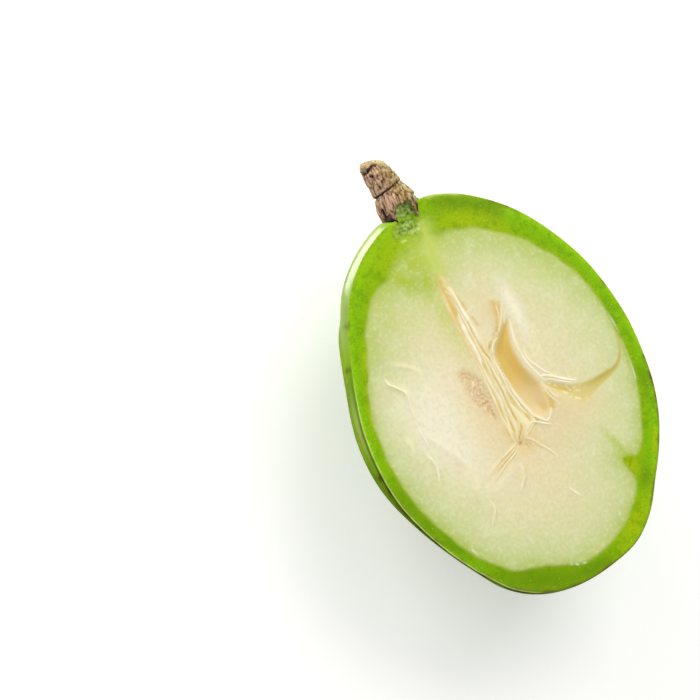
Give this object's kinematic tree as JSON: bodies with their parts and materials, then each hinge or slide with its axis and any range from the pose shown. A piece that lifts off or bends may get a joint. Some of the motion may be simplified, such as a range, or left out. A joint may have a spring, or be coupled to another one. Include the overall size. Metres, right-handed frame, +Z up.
{
  "type": "ambarella half",
  "caption": "Half of a green ambarella cut lengthwise, with pale flesh, fibres, an open seed chamber and its woody stalk, lying on its rounded back.",
  "frame": {"origin": "middle of the small flat spot on the rounded back that the half rests on", "axes": "+Z up, out of the cut face; +Y along the fruit towards its stalk; +X across the cut face, to the right of someone who looks down on it with the stalk pointing away"},
  "size_m": [0.0602, 0.0909, 0.0284],
  "materials": {
    "fruit": "waxy speckled green skin round moist pale cut flesh",
    "stalk_bark": "dry fissured light brown bark"
  },
  "bodies": {
    "root": {"fruit_half": "fruit", "stalk": "stalk_bark"}
  },
  "joints": []
}
